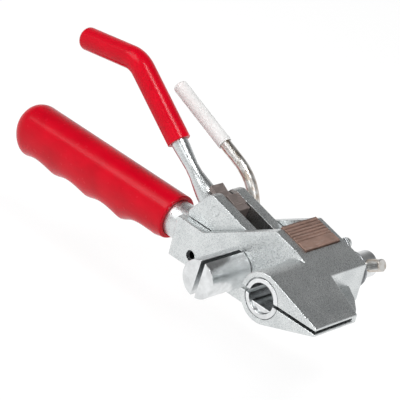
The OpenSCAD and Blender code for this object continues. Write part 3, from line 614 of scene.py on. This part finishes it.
def finger_grip_tree():
    """Shapes a round bar into a grip: a slow taper above, and finger grooves that swell below the axis."""
    tree, given = new_tree("Finger grip", Float=["Radius", "Mouth X", "Drop", "Swell", "Pitch", "Depth"])
    place = add(tree, "ShaderNodeSeparateXYZ", {0: add(tree, "GeometryNodeInputPosition")}).node.outputs
    back = add(tree, "ShaderNodeMath", {0: given["Mouth X"], 1: place["X"]}, operation="SUBTRACT")
    top = add(tree, "ShaderNodeMath", {0: back, 1: GRIP_TAPER, 2: given["Radius"]}, operation="MULTIPLY_ADD")
    swell_range = {
        "Value": back,
        "From Min": GRIP_SWELL_START,
        "From Max": GRIP_SWELL_START + GRIP_SWELL_RUN,
        "To Max": given["Swell"],
    }
    swell = add(tree, "ShaderNodeMapRange", swell_range)
    past_crest = add(tree, "ShaderNodeMath", {0: place["X"], 1: GRIP_FIRST_CREST}, operation="SUBTRACT")
    turns = add(tree, "ShaderNodeMath", {0: past_crest, 1: given["Pitch"]}, operation="DIVIDE")
    wave_angle = add(tree, "ShaderNodeMath", {0: turns, 1: math.pi}, operation="MULTIPLY")
    wave = add(tree, "ShaderNodeMath", {0: wave_angle}, operation="SINE")
    arches = add(tree, "ShaderNodeMath", {0: wave}, operation="ABSOLUTE")
    scallop = add(tree, "ShaderNodeMath", {0: arches, 1: GRIP_CREST_POWER}, operation="POWER")
    above = add(tree, "ShaderNodeMath", {0: place["Z"], 1: HANDLE_Z}, operation="SUBTRACT")
    slant = add(tree, "ShaderNodeMath", {0: above, 1: given["Radius"]}, operation="DIVIDE")
    bottom = add(tree, "ShaderNodeMath", {0: slant, 1: slant}, operation="MULTIPLY")
    scallop = add(tree, "ShaderNodeMath", {0: scallop, 1: bottom}, operation="MULTIPLY")
    groove = add(tree, "ShaderNodeMath", {0: scallop, 1: given["Depth"]}, operation="MULTIPLY")
    mouth_low = add(tree, "ShaderNodeMath", {0: given["Radius"], 1: given["Drop"]}, operation="ADD")
    full = add(tree, "ShaderNodeMath", {0: mouth_low, 1: swell}, operation="ADD")
    low = add(tree, "ShaderNodeMath", {0: full, 1: groove}, operation="SUBTRACT")
    under = add(tree, "ShaderNodeMath", {0: above, 1: 0.0}, operation="LESS_THAN")
    reach = add(tree, "ShaderNodeMix", {0: under, 2: top, 3: low})
    depth = add(tree, "ShaderNodeMath", {0: reach, 1: given["Radius"]}, operation="DIVIDE")
    width = add(tree, "ShaderNodeMath", {0: top, 1: given["Radius"]}, operation="DIVIDE")
    side = add(tree, "ShaderNodeMath", {0: place["Y"], 1: MID_Y}, operation="SUBTRACT")
    new_y = add(tree, "ShaderNodeMath", {0: side, 1: width, 2: MID_Y}, operation="MULTIPLY_ADD")
    new_z = add(tree, "ShaderNodeMath", {0: above, 1: depth, 2: HANDLE_Z}, operation="MULTIPLY_ADD")
    moved = add(tree, "ShaderNodeCombineXYZ", {"X": place["X"], "Y": new_y, "Z": new_z})
    shaped = add(tree, "GeometryNodeSetPosition", {"Geometry": given["Geometry"], "Position": moved})
    return close_tree(tree, shaped, given["Material"])


COIL_POINTS = 24
COIL_SIDES = 10


def coil_tree():
    """A compression spring: wire along a helix that stands on its place."""
    floats = ["Coil radius", "Wire radius", "Turns", "Height", "Tilt"]
    tree, given = new_tree("Coil spring", Float=floats, Vector=["Place"])
    helix_inputs = {
        "Resolution": COIL_POINTS,
        "Rotations": given["Turns"],
        "Start Radius": given["Coil radius"],
        "End Radius": given["Coil radius"],
        "Height": given["Height"],
    }
    helix = add(tree, "GeometryNodeCurveSpiral", helix_inputs)
    ring_inputs = {"Resolution": COIL_SIDES, "Radius": given["Wire radius"]}
    ring = add(tree, "GeometryNodeCurvePrimitiveCircle", ring_inputs, mode="RADIUS")
    wire = add(tree, "GeometryNodeCurveToMesh", {"Curve": helix, "Profile Curve": ring, "Fill Caps": True})
    tilt = add(tree, "ShaderNodeCombineXYZ", {"Y": given["Tilt"]})
    stood = add(tree, "GeometryNodeTransform", {0: wire, "Translation": given["Place"], "Rotation": tilt})
    return close_tree(tree, stood, given["Material"])


TREES = {}


def grow(obj, name, make, values):
    """Adds a node tree to an object, made at its first use, and sets its inputs by their identifiers."""
    if name not in TREES:
        TREES[name] = make()
    modifier = obj.modifiers.new(name, "NODES")
    modifier.node_group = TREES[name]
    identifiers = {s.name: s.identifier for s in TREES[name].interface.items_tree if s.in_out == "INPUT"}
    for label, value in values.items():
        modifier[identifiers[label]] = value
    return obj


def bent_bar(name, points, bends, radius, finish, step=0.6, dome=0.0, end_face=1.0, sides=None):
    """A round bar along points in mm, with the bend radius at each. It keeps its node tree as a modifier."""
    mesh = bpy.data.meshes.new(name)
    mesh.from_pydata([Vector(p) * MM for p in points], [(i, i + 1) for i in range(len(points) - 1)], [])
    mesh.attributes.new("bend", "FLOAT", "POINT").data.foreach_set("value", [b * MM for b in bends])
    values = {
        "Radius": radius,
        "Sides": sides or bpy.context.scene.tensioner_sizes.sides,
        "Step": step * MM,
        "Dome": dome * MM,
        "End face": end_face,
        "Material": FINISHES[finish],
    }
    return grow(link(bpy.data.objects.new(name, mesh)), "Bent bar", bent_bar_tree, values)


def bore(obj, cutter):
    """Cuts one bar out of another and drops the cutter."""
    cut = obj.modifiers.new("Bore", "BOOLEAN")
    cut.operation = "DIFFERENCE"
    cut.solver = "EXACT"
    cut.object = settle(cutter)
    settle(obj)
    bpy.data.objects.remove(cutter)
    return obj


def in_plane(path, y):
    """Points of an XZ path in the plane at y."""
    return [(x, y, z) for x, z in path]


def longer(path, extra):
    """An XZ path whose last run is drawn out."""
    (x0, z0), (x1, z1) = path[-2:]
    share = extra / math.dist((x0, z0), (x1, z1))
    return [*path[:-1], (x1 + (x1 - x0) * share, z1 + (z1 - z0) * share)]


class TENSIONER_OT_castings(bpy.types.Operator):
    """Rounds the edges of the body casting and the lever yoke"""

    bl_idname = "tensioner.castings"
    bl_label = "Body and yoke castings"

    def execute(self, context):
        edge = context.scene.tensioner_sizes.casting_edge
        broken_edges("body_casting", "body", edge, "zinc_casting", [CHEEK_GAP], BOSS_FILLET)
        broken_edges("yoke_casting", "lever_yoke", edge, "zinc_casting")
        return {"FINISHED"}


class TENSIONER_OT_turned_pieces(bpy.types.Operator):
    """Breaks the edges of the turned and milled pieces and the small fasteners"""

    bl_idname = "tensioner.turned_pieces"
    bl_label = "Turned pieces and pins"

    machined = ("winding_spindle", "cutter_shaft", "cutter_bush")
    small = ("handle_roll_pin", "spindle_washer", "spindle_ring", "spindle_key", "ratchet_wheel")
    plated = ("handle_tube", "drive_pawl_pin", "holding_pawl_pin", "spring_stud")

    def execute(self, context):
        sizes = context.scene.tensioner_sizes
        for node in self.machined:
            broken_edges(node + "_turned", node, sizes.machined_edge, SLOT_OF[node])
        for node in self.small:
            broken_edges(node + "_finished", node, sizes.small_edge, SLOT_OF[node])
        for node in self.plated:
            broken_edges(node + "_plated", node, sizes.small_edge, "zinc_casting")
        return {"FINISHED"}


class TENSIONER_OT_pawls(bpy.types.Operator):
    """Breaks the edges of the drive pawl and of the holding pawl with its ribbed thumb pad"""

    bl_idname = "tensioner.pawls"
    bl_label = "Pawls"

    def execute(self, context):
        edge = context.scene.tensioner_sizes.small_edge
        broken_edges("drive_pawl_phosphated", "drive_pawl", edge, "phosphate")
        broken_edges("holding_pawl_phosphated", "holding_pawl", edge, "phosphate_pad")
        return {"FINISHED"}


class TENSIONER_OT_main_grip(bpy.types.Operator):
    """Sweeps the main grip, shapes its finger grooves and bores it for the handle tube"""

    bl_idname = "tensioner.main_grip"
    bl_label = "Main grip"

    # Lengths in mm. The bore's step is longer than the tube, so that the bore has no rings
    ring_step = 1
    bore_step = 500
    dome = 9
    end_face = 0.5
    sides = 72

    def execute(self, context):
        sizes = context.scene.tensioner_sizes
        low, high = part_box("main_grip")
        axis = [(x / MM, MID_Y / MM, HANDLE_Z / MM) for x in (high.x, low.x)]
        form = {"step": self.ring_step, "dome": self.dome, "end_face": self.end_face, "sides": self.sides}
        grip = bent_bar("main_grip_dipped", axis, [0, 0], sizes.grip_mouth, "red_vinyl", **form)
        values = {
            "Radius": sizes.grip_mouth,
            "Mouth X": high.x,
            "Drop": sizes.grip_drop,
            "Swell": sizes.grip_swell,
            "Pitch": sizes.groove_pitch,
            "Depth": sizes.groove_depth,
            "Material": FINISHES["red_vinyl"],
        }
        grow(grip, "Finger grip", finger_grip_tree, values)
        tube = [(x / MM, MID_Y / MM, HANDLE_Z / MM) for x in (TUBE_HIGH.x, TUBE_LOW.x)]
        bore(grip, bent_bar("tube_bore", tube, [0, 0], TUBE_R, "red_vinyl", step=self.bore_step))
        round_edges(grip, sizes.vinyl_edge, segments=3)
        stand_for(settle(grip), "main_grip")
        return {"FINISHED"}


class TENSIONER_OT_levers(bpy.types.Operator):
    """Finishes the ratchet lever's rod, and sweeps the cutter lever's rod and both vinyl sleeves"""

    bl_idname = "tensioner.levers"
    bl_label = "Levers"

    # Shares of a sleeve's radius: the height of its domed end, and the flat that is left on it
    dome = 0.53
    end_face = 0.3
    # The bore starts this far in front of the mouth, in mm, so that its rings keep clear of the rounded mouth
    bore_start = 0.1

    def sleeve(self, name, node, mouth, path, bends, y, radius, rod_radius):
        """A sleeve from its mouth over the end of a rod's path, as many points as it has bends."""
        finish = SLOT_OF[node]
        dome = self.dome * radius / MM
        run = path[-len(bends) + 1 :]
        covered = in_plane(longer([mouth, *run], dome), y)
        sleeve = bent_bar(name, covered, bends, radius, finish, dome=dome, end_face=self.end_face)
        start = longer([run[0], mouth], self.bore_start)[1]
        bore(sleeve, bent_bar("rod_bore", in_plane([start, *run], y), bends, rod_radius, finish))
        round_edges(sleeve, bpy.context.scene.tensioner_sizes.vinyl_edge / 2, segments=3)
        stand_for(settle(sleeve), node)

    def execute(self, context):
        sizes = context.scene.tensioner_sizes
        broken_edges("ratchet_lever_bar", "ratchet_lever_rod", sizes.machined_edge, "zinc_bar")
        line = (RATCHET_MOUTH, RATCHET_LEVER, RATCHET_BENDS, MID_Y / MM)
        radii = (sizes.lever_sleeve, sizes.lever_rod)
        self.sleeve("ratchet_lever_dipped", "ratchet_lever_sleeve", *line, *radii)
        node = "cutter_lever_rod"
        points = in_plane(CUTTER_LEVER, CUTTER_LEVER_Y)
        rod = bent_bar("cutter_lever_bar", points, CUTTER_BENDS, sizes.cutter_rod, SLOT_OF[node])
        round_edges(rod, sizes.machined_edge)
        stand_for(settle(rod), node)
        line = (CUTTER_MOUTH, CUTTER_LEVER, CUTTER_BENDS[-2:], CUTTER_LEVER_Y)
        radii = (sizes.cutter_sleeve, sizes.cutter_rod)
        self.sleeve("cutter_lever_sleeved", "cutter_lever_sleeve", *line, *radii)
        return {"FINISHED"}


class TENSIONER_OT_springs(bpy.types.Operator):
    """Winds the springs of both pawls and the cutter's return spring"""

    bl_idname = "tensioner.springs"
    bl_label = "Springs"

    # Turns of the pawl springs, and the share of their length that is left when they are pressed
    drive_turns = 5
    drive_kept = 0.86
    hold_turns = 7
    hold_kept = 0.93
    # The return spring: its turns, then lengths in mm, the degrees from point to point and the wire's sides
    return_turns = 2.5
    return_rise = 5
    return_leg = 13.5
    return_tang = 8
    tang_bend = 1.0
    stud_gap = 0.4
    wire_step = 0.5
    point_step = 15
    wire_sides = 12

    def coil(self, name, node, turns, tilt):
        sizes = bpy.context.scene.tensioner_sizes
        low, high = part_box(node)
        wire = sizes.pawl_wire
        foot = (low + high) / 2
        axis = Vector((math.sin(tilt), 0, math.cos(tilt)))
        height = (high - low).dot(axis) - 2 * wire
        foot -= axis * height / 2
        values = {
            "Coil radius": sizes.pawl_coil,
            "Wire radius": wire,
            "Turns": turns,
            "Height": height,
            "Place": foot,
            "Tilt": tilt,
            "Material": FINISHES["spring_steel"],
        }
        obj = link(bpy.data.objects.new(name, bpy.data.meshes.new(name)))
        return settle(grow(obj, "Coil spring", coil_tree, values)), axis, foot

    def return_points(self, coil_r, wire_r):
        """The return spring's line in mm: a leg over the stud, turns about the shaft, and a tang."""
        centre, stud = Vector(CUTTER_AXIS), Vector(STUD_AXIS)
        to_stud = stud - centre
        over_stud = coil_r - STUD_R - wire_r - self.stud_gap
        start = math.atan2(to_stud.y, to_stud.x) - math.acos(over_stud / to_stud.length)
        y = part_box("cutter_spring")[0].y / MM + wire_r
        count = round(360 * self.return_turns / self.point_step)
        points = []
        for i in range(count + 1):
            turn = start - math.radians(self.point_step * i)
            x, z = centre + coil_r * Vector((math.cos(turn), math.sin(turn)))
            points.append(Vector((x, y + self.return_rise * i / count, z)))
        out = Vector((-math.sin(start), 0, math.cos(start)))
        leg = points[0] + self.return_leg * out
        tang = points[-1] + Vector((0, self.return_tang, 0))
        return [leg, *points, tang]

    def execute(self, context):
        sizes = context.scene.tensioner_sizes
        drive, axis, foot = self.coil("drive_pawl_coil", "drive_pawl_spring", self.drive_turns, math.pi / 2)
        stand_for(drive, "drive_pawl_spring")
        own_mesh(drive)
        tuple(axis)
        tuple(foot)
        hold, axis, foot = self.coil("holding_pawl_coil", "holding_pawl_spring", self.hold_turns, 0)
        stand_for(hold, "holding_pawl_spring")
        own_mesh(hold)
        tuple(axis)
        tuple(foot)
        coil_r, wire_r = sizes.return_coil / MM, sizes.return_wire / MM
        points = self.return_points(coil_r, wire_r)
        bends = [0.0] * len(points)
        bends[-2] = self.tang_bend
        form = {"step": self.wire_step, "sides": self.wire_sides}
        turns = bent_bar("cutter_return_spring", points, bends, sizes.return_wire, "spring_steel", **form)
        settle(turns)
        start = Vector((CUTTER_AXIS[0], points[1].y, CUTTER_AXIS[1])) * MM
        end = start + Vector((0, self.return_rise * MM, 0))
        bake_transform(turns, "frame_body", "cutter", start=start, end=end)
        stand_for(turns, "cutter_spring")
        return {"FINISHED"}


class TENSIONER_OT_stage(bpy.types.Operator):
    """Makes the floor, the light and the camera"""

    bl_idname = "tensioner.stage"
    bl_label = "Stage"

    floor_size = 6.0
    # Room below the body for the cutter lever, which swings 42 mm deeper than the foot
    floor_gap = 44 * MM
    # The share of the floor that glows, and how bright it and the two ends of the sweep are
    floor_glow = 0.8
    floor_light = 1.1
    sweep_light = 0.92
    ceiling_light = 0.13
    # Sines of the heights above the horizon between which the sweep fades: 7 and 43 degrees
    sweep_end = 0.12
    ceiling_start = 0.68
    sensor = 36
    # Name, place and size in metres, and power in watts
    lamps = (
        ("key_softbox", (-0.45, -0.5, 0.72), 0.5, 3.5),
        ("front_softbox", (0.35, -0.95, 0.55), 0.5, 1.5),
        ("side_softbox", (0.85, -0.2, 0.5), 0.4, 1.5),
        ("top_softbox", (0.32, -0.18, 0.95), 0.3, 5.0),
    )

    def execute(self, context):
        self.make_floor(context)
        self.make_light(context)
        self.make_camera(context)
        return {"FINISHED"}

    def make_floor(self, context):
        half = self.floor_size / 2
        z = CAD_BOX[0].z - self.floor_gap
        mesh = bpy.data.meshes.new("floor")
        corners = [(-half, -half, z), (half, -half, z), (half, half, z), (-half, half, z)]
        mesh.from_pydata(corners, [], [(0, 1, 2, 3)])
        link(bpy.data.objects.new("floor", mesh))
        # A pale matt floor. Part of it glows for the rays that look at it, so that it is white to the camera
        # and in the metal, and the rest takes the object's shadow.
        made = new_material("Pale studio floor")
        tree = made.node_tree
        rays = add(tree, "ShaderNodeLightPath").node.outputs
        looks = {0: rays["Is Camera Ray"], 1: rays["Is Glossy Ray"]}
        seen = add(tree, "ShaderNodeMath", looks, operation="MAXIMUM")
        seen = add(tree, "ShaderNodeMath", {0: seen, 1: rays["Is Transmission Ray"]}, operation="MAXIMUM")
        share = add(tree, "ShaderNodeMath", {0: seen, 1: self.floor_glow}, operation="MULTIPLY")
        matt = add(tree, "ShaderNodeBsdfDiffuse", {"Color": (*context.scene.tensioner_colours.floor, 1)})
        glow = add(tree, "ShaderNodeEmission", {"Color": (1, 1, 1, 1), "Strength": self.floor_light})
        mixed = add(tree, "ShaderNodeMixShader", {0: share, 1: matt, 2: glow})
        add(tree, "ShaderNodeOutputMaterial", {"Surface": mixed})
        mesh.materials.append(made)

    def make_light(self, context):
        # A white sweep that fades into a dim ceiling, and four softboxes. The camera itself sees only white
        world = bpy.data.worlds.new("Studio")
        context.scene.world = world
        world.use_nodes = True
        tree = world.node_tree
        tree.nodes.clear()
        heading = add(tree, "ShaderNodeTexCoord", out="Generated")
        up = add(tree, "ShaderNodeSeparateXYZ", {0: heading}, out="Z")
        fade = {"Value": up, "From Min": self.sweep_end, "From Max": self.ceiling_start}
        dim = add(tree, "ShaderNodeMapRange", fade)
        low, high = (*[self.sweep_light] * 3, 1), (*[self.ceiling_light] * 3, 1)
        glow = add(tree, "ShaderNodeMix", {0: dim, 6: low, 7: high}, out=2, data_type="RGBA")
        seen = add(tree, "ShaderNodeLightPath", out="Is Camera Ray")
        sky = add(tree, "ShaderNodeMix", {0: seen, 6: glow, 7: (1, 1, 1, 1)}, out=2, data_type="RGBA")
        background = add(tree, "ShaderNodeBackground", {"Color": sky, "Strength": 1.0})
        add(tree, "ShaderNodeOutputWorld", {"Surface": background})
        for name, place, size, watts in self.lamps:
            lamp = bpy.data.lights.new(name, "AREA")
            lamp.size = size
            lamp.energy = watts
            obj = link(bpy.data.objects.new(name, lamp))
            obj.location = place
            obj.rotation_mode = "QUATERNION"
            obj.rotation_quaternion = Vector(place).to_track_quat("Z", "Y")

    def make_camera(self, context):
        stage = context.scene.tensioner_stage
        azimuth, elevation, roll = stage.azimuth, stage.elevation, stage.roll
        back = Vector((math.sin(azimuth), -math.cos(azimuth), 0)) * math.cos(elevation)
        back.z = math.sin(elevation)
        level = Vector((math.cos(azimuth), math.sin(azimuth), 0))
        upright = back.cross(level)
        right = math.cos(roll) * level + math.sin(roll) * upright
        up = math.cos(roll) * upright - math.sin(roll) * level
        place = stage.distance * back - stage.right * right + stage.down * up
        data = bpy.data.cameras.new("photo_camera")
        data.lens = stage.lens
        data.sensor_width = self.sensor
        camera = link(bpy.data.objects.new("photo_camera", data))
        axes = Matrix((right, up, back)).transposed().to_4x4()
        camera.matrix_world = Matrix.Translation(place) @ axes
        context.scene.camera = camera
        context.scene.view_settings.view_transform = "Standard"


class TENSIONER_PT_sidebar(bpy.types.Panel):
    """Lists the pieces and their sizes"""

    bl_label = "Strapping band tensioner"
    bl_idname = "TENSIONER_PT_sidebar"
    bl_space_type = "VIEW_3D"
    bl_region_type = "UI"
    bl_category = "Tensioner"

    def draw(self, context):
        for operator in OPERATORS:
            self.layout.operator(operator.bl_idname)
        for name, group in GROUPS.items():
            box = self.layout.box()
            for prop in group.__annotations__:
                box.prop(getattr(context.scene, name), prop)


GROUPS = {
    "tensioner_sizes": TensionerSizes,
    "tensioner_colours": TensionerColours,
    "tensioner_stage": TensionerStage,
}
OPERATORS = [
    TENSIONER_OT_castings,
    TENSIONER_OT_turned_pieces,
    TENSIONER_OT_pawls,
    TENSIONER_OT_main_grip,
    TENSIONER_OT_levers,
    TENSIONER_OT_springs,
    TENSIONER_OT_stage,
]


def register():
    for name, group in GROUPS.items():
        bpy.utils.register_class(group)
        setattr(bpy.types.Scene, name, PointerProperty(type=group))
    for made in [*OPERATORS, TENSIONER_PT_sidebar]:
        bpy.utils.register_class(made)


def unregister():
    for made in [TENSIONER_PT_sidebar, *reversed(OPERATORS)]:
        bpy.utils.unregister_class(made)
    for name, group in GROUPS.items():
        delattr(bpy.types.Scene, name)
        bpy.utils.unregister_class(group)


def main():
    register()
    make_finishes(bpy.context.scene.tensioner_colours)
    bpy.ops.tensioner.castings()
    bpy.ops.tensioner.turned_pieces()
    bpy.ops.tensioner.pawls()
    bpy.ops.tensioner.main_grip()
    bpy.ops.tensioner.levers()
    bpy.ops.tensioner.springs()
    bpy.ops.tensioner.stage()


if __name__ == "__main__":
    main()
